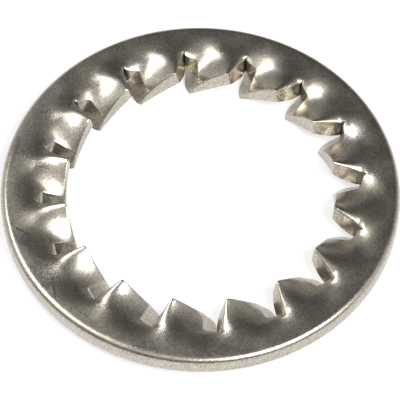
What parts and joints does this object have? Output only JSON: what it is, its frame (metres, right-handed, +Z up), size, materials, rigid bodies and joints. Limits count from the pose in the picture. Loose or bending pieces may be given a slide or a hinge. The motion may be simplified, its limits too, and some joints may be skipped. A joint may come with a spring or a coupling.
{
  "type": "internal tooth lock washer",
  "caption": "Flat steel ring whose inner edge is slit into twisted overlapping teeth that bite into a nut and the part under it and keep a bolt from working loose.",
  "frame": {"origin": "on the washer's axis, in the plane of the low tooth tips that it lies on", "axes": "+Z up along the axis, towards the raised tooth ends and the ring's rounded side; +X and +Y in the plane of the ring"},
  "size_m": [0.0376, 0.0376, 0.0038],
  "materials": {
    "steel": "tumbled stainless steel, satin with a soft shine"
  },
  "bodies": {
    "root": {"lock_washer": "steel"}
  },
  "joints": []
}
